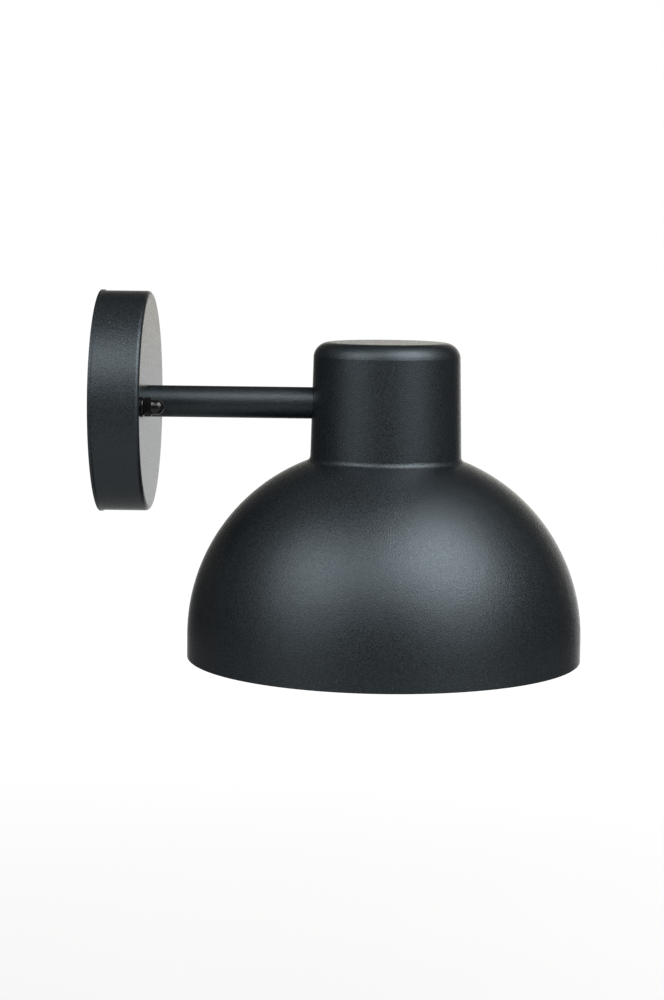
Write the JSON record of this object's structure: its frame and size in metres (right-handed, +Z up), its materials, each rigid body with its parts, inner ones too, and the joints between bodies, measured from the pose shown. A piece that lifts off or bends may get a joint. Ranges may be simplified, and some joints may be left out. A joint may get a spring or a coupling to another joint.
{
  "type": "wall light",
  "caption": "Wall light: a round canopy, a straight tube arm and a spun bell shade with a cylindrical neck, open below, over a screw-in lamp.",
  "frame": {"origin": "on the wall plane, at the centre of the wall bracket's back and on the arm's centre line", "axes": "+X out of the wall along the arm, +Z up, +Y to the left of someone who faces the wall"},
  "size_m": [0.244, 0.2, 0.185],
  "materials": {
    "black_coat": "satin black powder coat with a fine grain",
    "black_gloss": "glossy black plated and lacquered steel",
    "zinc_steel": "bright zinc plate",
    "brass": "plain pressed brass",
    "white_plastic": "natural moulded nylon",
    "black_moulding": "black thermoset moulding",
    "white_ceramic": "unglazed steatite",
    "brown_insulation": "smooth extruded",
    "blue_insulation": "smooth extruded",
    "green_insulation": "smooth extruded, green with a yellow stripe",
    "opal_glass": "opal, satin",
    "nickel": "nickel-plated thin sheet",
    "solder": "solder",
    "black_glass": "glossy black insulator"
  },
  "bodies": {
    "root": {"wall_bracket": "zinc_steel", "canopy_studs": "zinc_steel", "stud_lock_nuts": "zinc_steel", "canopy": "black_coat", "cap_nut_washers": "black_gloss", "cap_nuts": "black_gloss", "terminal_block": "white_plastic", "terminal_inserts": "brass", "terminal_screws": "zinc_steel", "terminal_block_screws": "zinc_steel", "earth_screw": "zinc_steel", "earth_tag": "zinc_steel", "earth_wire": "green_insulation", "arm_tube": "black_coat", "wall_end_bush": "zinc_steel", "shade_end_bush": "zinc_steel", "wall_nipple": "zinc_steel", "wall_tooth_washer": "zinc_steel", "wall_nipple_nut": "zinc_steel", "shade_nipple": "zinc_steel", "shade_tooth_washer": "zinc_steel", "shade_nipple_nut": "zinc_steel", "shade": "black_coat", "holder_bracket": "zinc_steel", "holder_nipple": "zinc_steel", "holder_nut": "zinc_steel", "lampholder_cap": "black_moulding", "lampholder_skirt": "black_moulding", "contact_base": "white_ceramic", "screw_shell": "brass", "centre_contact": "brass", "side_contact": "brass", "holder_terminal_screws": "zinc_steel", "live_wire": "brown_insulation", "neutral_wire": "blue_insulation"},
    "bulb_carrier": {"bulb_contact": "solder"},
    "bulb": {"bulb_glass": "opal_glass", "bulb_cap": "nickel", "bulb_insulator": "black_glass"}
  },
  "joints": [
    {"name": "bulb_travel", "type": "slide", "parent": "root", "child": "bulb_carrier", "axis": [0, 0, -1], "range_m": [0, 0.01089]},
    {"name": "bulb_turn", "type": "hinge", "parent": "bulb_carrier", "child": "bulb", "pos_m": [0.144, 0, -0.0183], "axis": [0, 0, -1], "range_deg": [0, 1080]}
  ],
  "couplings": [
    {"joint": "bulb_travel", "follows": "bulb_turn", "m_per_rad": 0.00057757}
  ]
}
